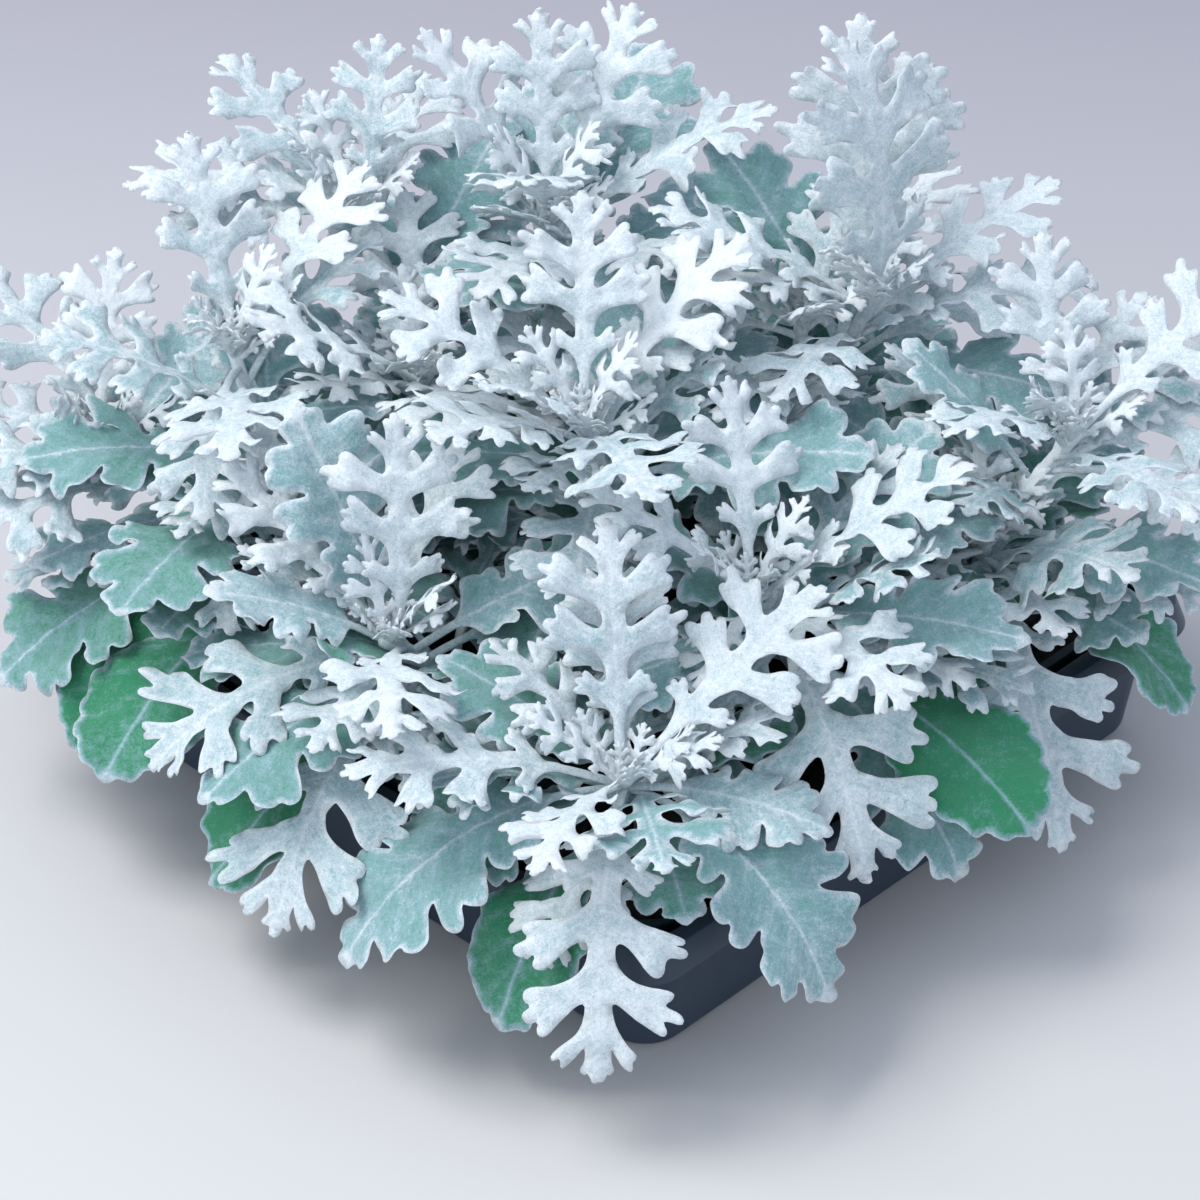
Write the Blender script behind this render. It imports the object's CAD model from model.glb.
"""Dusty miller plants in a nursery tray: felted leaves, tray, soil and studio stage."""
import math
import random

import bmesh
import bpy
import numpy as np
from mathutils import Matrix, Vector
from mathutils.bvhtree import BVHTree
from mathutils.geometry import delaunay_2d_cdt


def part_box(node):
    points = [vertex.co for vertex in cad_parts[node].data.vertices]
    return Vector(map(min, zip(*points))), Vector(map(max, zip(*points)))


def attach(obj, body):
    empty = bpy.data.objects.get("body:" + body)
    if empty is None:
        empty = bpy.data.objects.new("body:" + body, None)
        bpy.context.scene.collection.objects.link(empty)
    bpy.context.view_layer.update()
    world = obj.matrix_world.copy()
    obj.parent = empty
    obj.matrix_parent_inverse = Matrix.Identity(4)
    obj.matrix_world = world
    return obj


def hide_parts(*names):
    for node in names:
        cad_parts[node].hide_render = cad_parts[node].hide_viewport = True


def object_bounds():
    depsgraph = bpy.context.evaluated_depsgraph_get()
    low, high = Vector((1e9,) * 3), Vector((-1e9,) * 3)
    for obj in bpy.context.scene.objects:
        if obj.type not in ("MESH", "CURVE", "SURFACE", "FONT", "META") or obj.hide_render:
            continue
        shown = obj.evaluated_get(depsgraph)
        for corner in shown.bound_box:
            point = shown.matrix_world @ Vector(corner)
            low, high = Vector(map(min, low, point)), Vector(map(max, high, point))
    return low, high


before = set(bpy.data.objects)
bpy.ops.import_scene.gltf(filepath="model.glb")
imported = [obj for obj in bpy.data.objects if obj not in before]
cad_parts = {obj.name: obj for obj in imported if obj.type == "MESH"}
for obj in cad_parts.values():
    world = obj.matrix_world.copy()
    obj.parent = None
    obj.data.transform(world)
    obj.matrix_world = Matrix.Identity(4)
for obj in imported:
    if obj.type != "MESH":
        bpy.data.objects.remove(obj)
CAD_BOX = [list(corner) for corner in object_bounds()]

bl_info = {
    "name": "Dusty miller tray",
    "version": (1, 0, 0),
    "blender": (4, 5, 0),
    "location": "3D View > Sidebar > Dusty miller",
    "description": "Felted dusty miller plants in a square nursery tray",
    "category": "Object",
}

MM = 0.001
VIEW_RIGHT = -46.0

TRAY_BASE_HALF = 129.4
TRAY_WALL_TOP_HALF = 135.6
TRAY_HEIGHT = 55.0
TRAY_CORNER = 15.0
TRAY_WALL = 1.3
LIP_WIDTH = 5.6
SKIRT_DROP = 10.4
SKIRT_FLARE = 2.9

CELL_PITCH = 85.0
SOIL_TOP = 46.0
STEM_FOOT = 30.0
STEM_RADIUS = 3.0

BLADE_EDGE = 0.78
RIB_THICK = 2.4
PETIOLE_HALF = 1.7
CLEARANCE = 0.45

# The solids' leaf kinds: one half of each blade, as shares of the blade length.
KINDS = {
    "cut": {
        "petiole": 0.24, "fold": 9.0, "curl": 5.0,
        "rib": (0.20, 0.60),
        "edge": ((0.07, 0.04), (0.24, 0.22), (0.26, 0.065), (0.35, 0.08),
                 (0.45, 0.36), (0.61, 0.35), (0.50, 0.085), (0.60, 0.085), (0.72, 0.36),
                 (0.88, 0.28), (0.76, 0.08), (0.95, 0.13)),
    },
    "oak": {
        "petiole": 0.22, "fold": 7.0, "curl": 4.0,
        "rib": (0.40,),
        "edge": ((0.05, 0.06), (0.17, 0.22), (0.30, 0.24), (0.34, 0.16), (0.45, 0.34),
                 (0.60, 0.34), (0.62, 0.19), (0.74, 0.31), (0.86, 0.24), (0.96, 0.11)),
    },
    "curl": {
        "petiole": 0.16, "fold": 24.0, "curl": 10.0,
        "rib": (0.40,),
        "edge": ((0.12, 0.07), (0.26, 0.27), (0.42, 0.12), (0.60, 0.33), (0.90, 0.20)),
    },
    "oval": {
        "petiole": 0.34, "fold": 5.0, "curl": 3.0,
        "rib": (0.45,),
        "edge": ((0.04, 0.05), (0.20, 0.22), (0.42, 0.32), (0.62, 0.35), (0.80, 0.29),
                 (0.94, 0.16)),
    },
}

# The finished cut leaf's lobes, in order from the foot: the foot of each along the rib, its
# tip along and across, its half width where it springs and its number of fingers.
RACHIS = 0.060
LOBES = ((0.15, 0.235, 0.205, 0.058, 3), (0.40, 0.540, 0.360, 0.068, 3),
         (0.645, 0.795, 0.335, 0.064, 3), (0.845, 0.960, 0.165, 0.045, 2))
FINGER_FAN = 40.0
# How often the blade twists along its rib, as a share of its length, and by how much.
LOBE_PITCH = 0.37
LOBE_TWIST = 2.6
# Breadth and length of the fine streaks in the felt.
STREAK_WIDE = 1.3
STREAK_LONG = 7.0

# Rounder margins of the other kinds, as one half each, and the side veins of every kind as
# (start along the rib, tip along, tip across).
MARGINS = {
    "oak": ((0.02, 0.03), (0.06, 0.065), (0.10, 0.13), (0.125, 0.205), (0.17, 0.24),
            (0.215, 0.225), (0.23, 0.19), (0.27, 0.25), (0.315, 0.25), (0.335, 0.195),
            (0.325, 0.14), (0.36, 0.15), (0.38, 0.24), (0.405, 0.325), (0.45, 0.36),
            (0.49, 0.345), (0.505, 0.30), (0.55, 0.36), (0.605, 0.355), (0.625, 0.285),
            (0.60, 0.20), (0.595, 0.165), (0.64, 0.20), (0.68, 0.29), (0.73, 0.33),
            (0.78, 0.31), (0.785, 0.26), (0.83, 0.28), (0.875, 0.25), (0.875, 0.18),
            (0.845, 0.115), (0.89, 0.125), (0.94, 0.14), (0.97, 0.10), (0.965, 0.07),
            (1.01, 0.045), (1.02, 0.0)),
    "oval": ((0.01, 0.03), (0.05, 0.06), (0.10, 0.13), (0.15, 0.19), (0.20, 0.225),
             (0.235, 0.21), (0.27, 0.26), (0.32, 0.295), (0.365, 0.28), (0.40, 0.32),
             (0.46, 0.35), (0.505, 0.325), (0.54, 0.355), (0.60, 0.37), (0.65, 0.335),
             (0.69, 0.35), (0.745, 0.33), (0.77, 0.285), (0.82, 0.285), (0.875, 0.25),
             (0.88, 0.20), (0.93, 0.18), (0.97, 0.135), (0.965, 0.085), (1.005, 0.055),
             (1.015, 0.0)),
}
VEINS = {
    "cut": ((0.08, 0.26, 0.20), (0.26, 0.55, 0.35), (0.30, 0.44, 0.33), (0.40, 0.62, 0.31),
            (0.50, 0.80, 0.32), (0.54, 0.70, 0.33), (0.60, 0.88, 0.25), (0.74, 0.95, 0.11)),
    "oak": ((0.05, 0.18, 0.21), (0.14, 0.30, 0.22), (0.26, 0.45, 0.33), (0.36, 0.60, 0.33),
            (0.50, 0.73, 0.30), (0.60, 0.86, 0.23), (0.76, 0.95, 0.11)),
    "curl": ((0.08, 0.24, 0.20), (0.30, 0.54, 0.34), (0.54, 0.80, 0.32), (0.76, 0.95, 0.14)),
    "oval": ((0.03, 0.24, 0.23), (0.14, 0.42, 0.32), (0.28, 0.62, 0.35), (0.46, 0.80, 0.28),
             (0.64, 0.93, 0.17)),
}

# Plants by cell column and row. A shoot is (crown x, y, z, leaves), and a leaf is
# (kind, share of the stem, heading, pitch of its chord, length, arch).
PLANTS = {
    "a1": ((-1, -1), [
        (-108, -97, 86, [
            ("cut", 0.98, 95, 50, 86, 15), ("cut", 0.95, 38, 26, 94, 30),
            ("cut", 0.92, 190, 10, 94, 35), ("oak", 0.80, 204, -24, 116, 70),
            ("cut", 0.92, 265, -34, 108, 85), ("oak", 0.84, 320, -30, 104, 80),
            ("curl", 1.0, 0, 30, 38, 30), ("curl", 1.0, 178, 42, 42, 20),
            ("oval", 0.62, 245, -32, 98, 75),
            ("oval", 0.60, 12, 8, 62, 25), ("oak", 0.90, 346, -6, 70, 30)]),
    ]),
    "b1": ((0, -1), [
        (-24, -75, 108, [
            ("cut", 0.97, 100, 55, 74, 15), ("cut", 0.93, 10, 32, 88, 30),
            ("oak", 0.55, 292, -28, 104, 70), ("oval", 0.42, 316, -24, 110, 60),
            ("cut", 0.92, 170, 35, 74, 30), ("cut", 0.80, 309, -36, 108, 85),
            ("oak", 0.80, 45, 25, 92, 30), ("oak", 0.70, 235, 6, 82, 35),
            ("curl", 1.0, 60, 55, 40, 20), ("curl", 1.0, 200, 45, 38, 25),
            ("cut", 0.86, 286, 6, 82, 45), ("oak", 0.80, 345, 4, 90, 35)]),
    ]),
    "a2": ((-1, 0), [
        (-122, 1, 102, [
            ("cut", 0.96, 62, 42, 74, 20), ("oak", 0.90, 97, 50, 88, 15),
            ("cut", 0.70, 200, -14, 102, 60), ("cut", 0.60, 240, -27, 116, 75),
            ("cut", 0.93, 150, 38, 82, 25), ("oak", 0.80, 18, 18, 82, 30),
            ("cut", 0.85, 270, 15, 82, 45), ("oval", 0.42, 216, -24, 112, 60),
            ("curl", 1.0, 350, 50, 38, 20), ("curl", 1.0, 120, 55, 38, 20),
            ("oak", 0.48, 227, -27, 106, 65), ("oak", 0.60, 172, -4, 88, 30)]),
    ]),
    "b2": ((0, 0), [
        (-25, 2, 142, [
            ("cut", 0.97, 90, 58, 80, 15), ("cut", 0.93, 35, 40, 88, 25),
            ("cut", 0.93, 165, 32, 86, 30), ("cut", 0.90, 285, 20, 92, 45),
            ("cut", 0.88, 225, 20, 86, 40), ("oak", 0.75, 185, 10, 94, 35),
            ("oak", 0.70, 320, 8, 98, 35), ("oak", 0.65, 60, 15, 96, 30),
            ("oak", 0.55, 260, -2, 94, 35), ("curl", 1.0, 20, 60, 40, 20),
            ("curl", 1.0, 140, 50, 40, 20), ("oak", 0.80, 112, 22, 90, 30),
            ("cut", 0.72, 245, 4, 88, 40)]),
    ]),
    "c1": ((1, -1), [
        (79, -95, 86, [
            ("oak", 0.90, 150, 33, 80, 20), ("oak", 0.85, 190, 8, 84, 35),
            ("cut", 0.80, 285, -30, 120, 75), ("cut", 0.75, 340, 2, 86, 40),
            ("curl", 1.0, 30, 45, 36, 20), ("curl", 1.0, 250, 40, 38, 30),
            ("oval", 0.45, 262, -10, 90, 40)]),
        (113, -107, 124, [
            ("cut", 0.96, 25, 36, 82, 20), ("cut", 0.92, 100, 52, 74, 15),
            ("cut", 0.80, 12, 12, 88, 35), ("cut", 0.86, 300, 15, 86, 45),
            ("oval", 0.32, 334, -28, 94, 60), ("oak", 0.70, 230, 10, 82, 35),
            ("curl", 1.0, 90, 60, 40, 20), ("curl", 1.0, 230, 50, 38, 20)]),
    ]),
    "a3": ((-1, 1), [
        (-72, 128, 142, [
            ("cut", 0.95, 45, 38, 82, 25), ("cut", 0.90, 110, 50, 86, 20),
            ("cut", 0.85, 270, 18, 90, 40), ("oak", 0.70, 20, 12, 86, 30),
            ("oak", 0.60, 180, 8, 90, 35), ("curl", 1.0, 80, 60, 40, 20),
            ("curl", 1.0, 260, 45, 38, 20), ("oval", 0.20, 226, -28, 112, 55),
            ("oak", 0.55, 238, 0, 92, 35)]),
        (-110, 162, 106, [
            ("cut", 0.98, 82, 55, 66, 15), ("cut", 0.90, 140, 35, 86, 25),
            ("oak", 0.92, 38, 34, 68, 20), ("cut", 0.80, 215, 4, 82, 40),
            ("cut", 0.75, 285, -2, 86, 40), ("oval", 0.38, 232, -28, 102, 60),
            ("curl", 1.0, 200, 50, 36, 20), ("oak", 0.45, 214, -24, 104, 60)]),
    ]),
    "c2": ((1, 0), [
        (101, -23, 150, [
            ("cut", 0.96, 75, 60, 86, 10), ("cut", 0.90, 95, 64, 106, 15),
            ("cut", 0.88, 140, 58, 114, 75), ("oak", 0.75, 130, 38, 92, 25),
            ("cut", 0.85, 20, 30, 88, 30), ("cut", 0.80, 0, 14, 90, 40),
            ("cut", 0.92, 165, 25, 86, 35), ("oak", 0.65, 345, 2, 90, 35),
            ("oak", 0.60, 260, 2, 92, 35), ("curl", 1.0, 60, 60, 40, 20),
            ("curl", 1.0, 240, 50, 40, 20), ("oak", 0.50, 292, -4, 96, 35),
            ("cut", 0.72, 200, 8, 90, 38)]),
        (79, -6, 140, [
            ("curl", 1.0, 185, 25, 52, 30), ("curl", 1.0, 280, 40, 42, 30)]),
    ]),
    "b3": ((0, 1), [
        (-29, 77, 128, [
            ("cut", 0.95, 190, 35, 82, 25), ("cut", 0.90, 280, 22, 86, 40),
            ("oak", 0.75, 160, 12, 92, 35), ("oak", 0.65, 30, 15, 92, 30),
            ("curl", 1.0, 110, 60, 42, 20), ("curl", 1.0, 230, 45, 42, 25),
            ("oak", 0.58, 250, 0, 94, 32),
            ("cut", 0.85, 62, 34, 82, 25)]),
        (-2, 142, 168, [
            ("cut", 0.93, 188, 12, 86, 45), ("cut", 0.90, 80, 62, 68, 15),
            ("cut", 0.85, 140, 35, 90, 30), ("oak", 0.70, 60, 30, 86, 30),
            ("curl", 1.0, 20, 45, 42, 20), ("curl", 1.0, 110, 45, 42, 20),
            ("curl", 1.0, 200, 40, 44, 20)]),
    ]),
    "c3": ((1, 1), [
        (42, 87, 160, [
            ("cut", 0.95, 95, 62, 76, 15), ("cut", 0.92, 40, 50, 86, 20),
            ("cut", 0.90, 140, 50, 88, 25), ("cut", 0.88, 10, 30, 92, 35),
            ("cut", 0.85, 250, 18, 90, 40), ("oak", 0.75, 70, 30, 98, 30),
            ("oak", 0.70, 200, 15, 96, 35), ("oak", 0.60, 330, 8, 96, 35),
            ("curl", 1.0, 50, 60, 42, 20), ("curl", 1.0, 170, 55, 42, 20),
            ("oak", 0.50, 255, 4, 96, 32)]),
    ]),
}

# How much white felt covers a leaf, by kind: for the highest and the lowest on a stem.
FELT = {"curl": (0.93, 0.93), "cut": (0.86, 0.46), "oak": (0.58, 0.32), "oval": (0.09, 0.03)}

# What is tried in turn to bring a leaf clear of the rest: a turn, a tilt and a share of its length.
NUDGES = [(0, 0, 1.0)] + [
    (turn, tilt, scale) for scale in (1.0, 0.93, 0.85, 0.76, 0.66)
    for tilt in (0, 7, -7, 14, -14, 22, 30) for turn in (0, 9, -9, 18, -18, 27, -27, 38, -38)]
FILL_NUDGES = [(turn, tilt, scale) for scale in (1.0, 0.8, 0.62) for tilt in (0, 16, -16, 34)
               for turn in (0, 24, -24, 50, -50)]

# Leaves that the solids lack: up each stem inside the canopy, and low down all round it.
FILL_LEAVES = 13
SKIRT_LEAVES = 9
FILL_GRAIN = 1.3
LEAF_TURN = 137.5

STEM_RINGS = 40
STEM_SIDES = 20

TRAY_FOOT_ROUND = 3.0
LINER_COLOUR = (0.018, 0.045, 0.055)
SOIL_GRID = 46
SOIL_TAPER = 8.5 / 48.2
SOIL_CHIPS = 70

FLOOR_SIZE = 14.0
FLOOR_STOPS = ((0.0, (0.60, 0.59, 0.575)), (0.45, (0.53, 0.52, 0.53)),
               (1.0, (0.345, 0.333, 0.37)))
AIR_COLOUR = (0.74, 0.83, 1.0, 1.0)
AIR_STRENGTH = 0.88
LIGHT_AIM = (0.0, 0.0, 0.1)
# Each soft light: its name, place, size in metres, power in watts and colour.
LIGHTS = (("key", (-0.75, 1.15, 2.4), 1.5, 57.0, (1.0, 0.985, 0.96)),
          ("fill", (-2.4, -0.9, 1.6), 1.6, 15.0, (0.9, 0.95, 1.0)))
CAMERA_PLACE = (-0.99812, -0.94679, 1.05315)
CAMERA_AZIMUTH = -136.011
CAMERA_ELEVATION = 35.948
CAMERA_LENS = 143.2


class DustyMillerSettings(bpy.types.PropertyGroup):
    """Sizes and colours that suit other trays of the same plant."""

    young_felt: bpy.props.FloatVectorProperty(
        name="Young felt", description="Colour of the thick white felt on the youngest leaves",
        subtype="COLOR", size=3, default=(0.825, 0.865, 0.88))
    sage: bpy.props.FloatVectorProperty(
        name="Sage", description="Colour of a grown leaf where the felt has thinned",
        subtype="COLOR", size=3, default=(0.28, 0.455, 0.485))
    old_green: bpy.props.FloatVectorProperty(
        name="Old green", description="Colour of the oldest leaves, nearly without felt",
        subtype="COLOR", size=3, default=(0.035, 0.25, 0.12))
    tray_colour: bpy.props.FloatVectorProperty(
        name="Tray", description="Colour of the moulded tray",
        subtype="COLOR", size=3, default=(0.026, 0.046, 0.074))
    soil_colour: bpy.props.FloatVectorProperty(
        name="Soil", description="Colour of the damp potting mix",
        subtype="COLOR", size=3, default=(0.012, 0.010, 0.009))
    leaf_grain: bpy.props.FloatProperty(
        name="Leaf grain", description="Spacing of the points inside a leaf blade, in millimetres",
        default=2.5, min=1.5, max=6.0)
    lobe_ruffle: bpy.props.FloatProperty(
        name="Ruffle", description="How far leaf margins ripple, in millimetres",
        default=1.1, min=0.0, max=4.0)
    crown_leaves: bpy.props.IntProperty(
        name="Crown leaves", description="Small young leaves packed into each shoot tip",
        default=8, min=0, max=16)


class Wire:
    """A shader socket that can be used in plain sums."""

    def __init__(self, paint, socket):
        self.paint = paint
        self.socket = socket

    def _do(self, operation, first, second):
        return self.paint.node("ShaderNodeMath", {"operation": operation},
                               {0: first, 1: second})

    def __add__(self, other):
        return self._do("ADD", self, other)

    __radd__ = __add__

    def __sub__(self, other):
        return self._do("SUBTRACT", self, other)

    def __rsub__(self, other):
        return self._do("SUBTRACT", other, self)

    def __mul__(self, other):
        return self._do("MULTIPLY", self, other)

    __rmul__ = __mul__

    def clamped(self):
        """The value kept between nought and one."""
        return self.paint.node("ShaderNodeClamp", None, {"Value": self})


class Paint:
    """A material with one Principled shader and a short way to add nodes."""

    def __init__(self, name):
        self.material = bpy.data.materials.new(name)
        self.material.use_nodes = True
        self.tree = self.material.node_tree
        self.shader = self.tree.nodes["Principled BSDF"]

    def node(self, kind, settings=None, sockets=None, out=0):
        """Add a node, set it up and give back one of its outputs."""
        made = self.tree.nodes.new(kind)
        for key, value in (settings or {}).items():
            if key == "stops":
                self._stops(made.color_ramp, value)
            else:
                setattr(made, key, value)
        for key, value in (sockets or {}).items():
            self._feed(made.inputs[key], value)
        return Wire(self, made.outputs[out])

    def _feed(self, target, value):
        if isinstance(value, Wire):
            self.tree.links.new(value.socket, target)
        else:
            target.default_value = value

    @staticmethod
    def _stops(ramp, stops):
        while len(ramp.elements) < len(stops):
            ramp.elements.new(0.5)
        for element, (place, colour) in zip(ramp.elements, stops):
            element.position = place
            element.color = (*colour, 1.0)

    def set(self, **values):
        """Set or link inputs of the shader; underscores stand for spaces."""
        for key, value in values.items():
            self._feed(self.shader.inputs[key.replace("_", " ")], value)

    def place(self):
        """The object's own coordinates."""
        return self.node("ShaderNodeTexCoord", out="Object")

    def attribute(self, name):
        """A value stored on the mesh."""
        return self.node("ShaderNodeAttribute", {"attribute_name": name}, out="Fac")

    def noise(self, where, scale, detail=2.0, rough=0.5, distort=0.0):
        """Cloudy noise between nought and one."""
        return self.node("ShaderNodeTexNoise", None, {
            "Vector": where, "Scale": scale, "Detail": detail, "Roughness": rough,
            "Distortion": distort}, out="Fac")

    def ramp(self, value, stops):
        """A colour read from a value."""
        return self.node("ShaderNodeValToRGB", {"stops": stops}, {"Fac": value}, out="Color")

    def mix(self, factor, first, second):
        """Two colours mixed."""
        made = self.tree.nodes.new("ShaderNodeMix")
        made.data_type = "RGBA"
        self._feed(made.inputs[0], factor)
        self._feed(made.inputs[6], first)
        self._feed(made.inputs[7], second)
        return Wire(self, made.outputs[2])

    def bump(self, height, strength, distance):
        """Feed the shader's normal from a height."""
        made = self.node("ShaderNodeBump", None, {
            "Height": height, "Strength": strength, "Distance": distance}, out="Normal")
        self._feed(self.shader.inputs["Normal"], made)


def rgba(colour):
    """A colour with full cover."""
    return (*colour, 1.0)


def leaf_paint(look):
    """White felt over a blue green leaf, thick where the felt value is high."""
    paint = Paint("felted_leaf")
    where = paint.place()
    cover = paint.attribute("felt")
    patch = paint.noise(where, 60.0, 2.0)
    mottle = paint.noise(where, 360.0, 3.0, 0.6, 0.8)
    fibre = paint.noise(where, 1500.0, 2.0, 0.65, 1.5)
    veins = paint.node("ShaderNodeAttribute", {"attribute_name": "vein_place"}, out="Vector")
    streak = paint.noise(veins, 1.0, 3.0, 0.6, 0.4)
    felt = cover + (patch - 0.5) * 0.30 + (mottle - 0.5) * 0.46 + (fibre - 0.5) * 0.80
    felt = felt + (streak - 0.5) * 0.30 - 0.03
    young, sage, old = tuple(look.young_felt), tuple(look.sage), tuple(look.old_green)
    middle = tuple(0.5 * (a + b) for a, b in zip(old, sage))
    pale = tuple(0.45 * a + 0.55 * b for a, b in zip(sage, young))
    colour = paint.ramp(felt.clamped(), ((0.0, old), (0.25, middle), (0.5, sage), (0.74, pale),
                                         (0.96, young)))
    paint.set(Base_Color=colour, Roughness=0.88)
    paint.shader.inputs["Sheen Weight"].default_value = 0.25
    paint.shader.inputs["Sheen Roughness"].default_value = 0.45
    paint.shader.inputs["Sheen Tint"].default_value = (0.88, 0.94, 1.0, 1.0)
    paint.shader.inputs["Specular IOR Level"].default_value = 0.25
    paint.bump(mottle * 0.5 + fibre * 0.6 + streak * 0.35, 0.85, 0.0009)
    return paint.material


def stem_paint():
    """Pale ribbed stems under a thin felt."""
    paint = Paint("felted_stem")
    where = paint.place()
    cover = paint.attribute("felt")
    mottle = paint.noise(where, 300.0, 3.0, 0.6)
    felt = (cover + (mottle - 0.5) * 0.4).clamped()
    colour = paint.ramp(felt, ((0.0, (0.16, 0.27, 0.20)), (0.5, (0.42, 0.52, 0.46)),
                               (1.0, (0.76, 0.80, 0.80))))
    paint.set(Base_Color=colour, Roughness=0.8)
    paint.bump(paint.noise(where, 1400.0, 2.0), 0.5, 0.0005)
    return paint.material


def plastic_paint(name, colour, roughness):
    """Dark moulded plastic with a faint grain and a little dust."""
    paint = Paint(name)
    where = paint.place()
    grain = paint.noise(where, 1800.0, 2.0)
    cloud = paint.noise(where, 22.0, 4.0, 0.6)
    dust = ((cloud - 0.45) * 1.6).clamped() * 0.22
    pale = tuple(0.12 + 0.8 * c for c in colour)
    paint.set(Base_Color=paint.mix(dust, rgba(colour), rgba(pale)),
              Roughness=(cloud - 0.5) * 0.18 + roughness)
    paint.bump(grain, 0.25, 0.0002)
    return paint.material


def soil_paint(look):
    """Damp dark potting mix."""
    paint = Paint("potting_mix")
    where = paint.place()
    clump = paint.noise(where, 160.0, 5.0, 0.65)
    grain = paint.noise(where, 900.0, 3.0)
    dark = tuple(look.soil_colour)
    brown = tuple(3.2 * c + 0.01 for c in dark)
    paint.set(Base_Color=paint.mix(((clump - 0.4) * 2.0).clamped() * 0.7, rgba(dark), rgba(brown)),
              Roughness=0.95)
    paint.bump(clump * 0.7 + grain * 0.5, 0.9, 0.0015)
    return paint.material


def chip_paint():
    """Light grains of bark and perlite, each with its own shade."""
    paint = Paint("soil_grains")
    shade = paint.attribute("shade")
    grain = paint.noise(paint.place(), 1500.0, 2.0)
    colour = paint.ramp((shade + (grain - 0.5) * 0.2).clamped(), (
        (0.0, (0.05, 0.03, 0.02)), (0.6, (0.30, 0.20, 0.11)), (1.0, (0.75, 0.72, 0.66))))
    paint.set(Base_Color=colour, Roughness=0.9)
    return paint.material


def select_none():
    """Leave edit mode and deselect everything."""
    if bpy.context.object and bpy.context.object.mode != "OBJECT":
        bpy.ops.object.mode_set(mode="OBJECT")
    bpy.ops.object.select_all(action="DESELECT")


def finish_piece(obj, node, slot, *materials):
    """Name what a piece stands for and give it its finish."""
    obj.data.materials.clear()
    for material in materials:
        obj.data.materials.append(material)
    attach(obj, "root")
    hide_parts(node)


def stem_line(foot, crown, steps=5):
    """Points up a stem that leaves the soil upright and then leans to its crown."""
    start = Vector((foot[0], foot[1], SOIL_TOP + 3.0))
    middle = Vector((foot[0], foot[1], start.z + 0.42 * (crown.z - start.z)))
    points = [Vector((foot[0], foot[1], STEM_FOOT))]
    for i in range(steps):
        t = i / (steps - 1)
        points.append((1 - t) ** 2 * start + 2 * t * (1 - t) * middle + t * t * crown)
    return points


def along(points, share):
    """Point at a share of the way up the free part of a stem."""
    place = 1 + min(share, 0.97) * (len(points) - 2)
    i = min(int(place), len(points) - 2)
    return points[i].lerp(points[i + 1], place - i)


def blade_template(kind):
    """Flat vertices, triangles and open edges of a leaf one unit long, split along its rib."""
    petiole = kind["petiole"]
    reach = 1.0 - petiole
    ribs = [(u, 0.0) for u in [0.0, petiole] + [petiole + reach * u for u in kind["rib"]] + [1.0]]
    edge = [(0.0, 0.02), (petiole, 0.02)]
    edge += [(petiole + reach * u, reach * v) for u, v in kind["edge"]]
    flat = ribs + edge + [(u, -v) for u, v in edge]
    rib = list(range(len(ribs)))
    left = list(range(len(ribs), len(ribs) + len(edge)))
    right = [i + len(edge) for i in left]
    found = delaunay_2d_cdt([Vector(p) for p in flat], [], [rib + left[::-1], right + rib[::-1]],
                            1, 1e-7)
    faces = [tuple(f) for f in found[2]]
    edges = [(f[i], f[(i + 1) % 3]) for f in faces for i in range(3)]
    rim = [(a, b) for a, b in edges if (b, a) not in edges]
    return [tuple(v) for v in found[0]], faces, petiole, rim


TEMPLATES = {name: blade_template(kind) for name, kind in KINDS.items()}


def rib_frames(root, heading, pitch, length, arch, sweep, roll, steps=16):
    """Points and side and upward directions along an arched rib."""
    frames = []
    place = root.copy()
    for i in range(steps + 1):
        s = i / steps
        rise = math.radians(pitch + arch * (0.5 - s))
        turn = math.radians(VIEW_RIGHT + heading + sweep * (s - 0.5))
        ahead = Vector((math.cos(rise) * math.cos(turn), math.cos(rise) * math.sin(turn),
                        math.sin(rise)))
        side = Vector((-math.sin(turn), math.cos(turn), 0.0))
        up = ahead.cross(side)
        lean = math.radians(roll)
        frames.append((place.copy(), side * math.cos(lean) + up * math.sin(lean),
                       up * math.cos(lean) - side * math.sin(lean)))
        place += ahead * (length / steps)
    return frames


def leaf_points(kind, frames, length, draw):
    """Place the template's vertices on an arched, folded and slightly waved blade."""
    verts, _faces, petiole, _rim = TEMPLATES[kind]
    fold = math.radians(KINDS[kind]["fold"] + draw.uniform(-4.0, 4.0))
    curl = KINDS[kind]["curl"]
    wave = draw.uniform(0.0, 6.3)
    points = []
    weights = []
    for u, v in verts:
        s = u * (len(frames) - 1)
        i = min(int(s), len(frames) - 2)
        a, b = frames[i], frames[i + 1]
        place, side, up = (a[k].lerp(b[k], s - i) for k in range(3))
        if u <= petiole + 1e-6:
            across = math.copysign(PETIOLE_HALF, v) if v else 0.0
            points.append(place + side * across)
            weights.append(1.0)
            continue
        across = v * length
        lift = abs(across) * math.sin(fold) - curl * (v / 0.3) ** 2
        phase = 9.0 * u + wave + (2.0 if v > 0 else 0.0)
        lift += 0.030 * length * math.sin(phase) * (abs(v) / 0.3)
        points.append(place + side * across * math.cos(fold) + up * lift)
        weights.append(BLADE_EDGE / RIB_THICK if v else 1.0 - 0.5 * (u - petiole) / (1 - petiole))
    return points, weights


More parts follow.
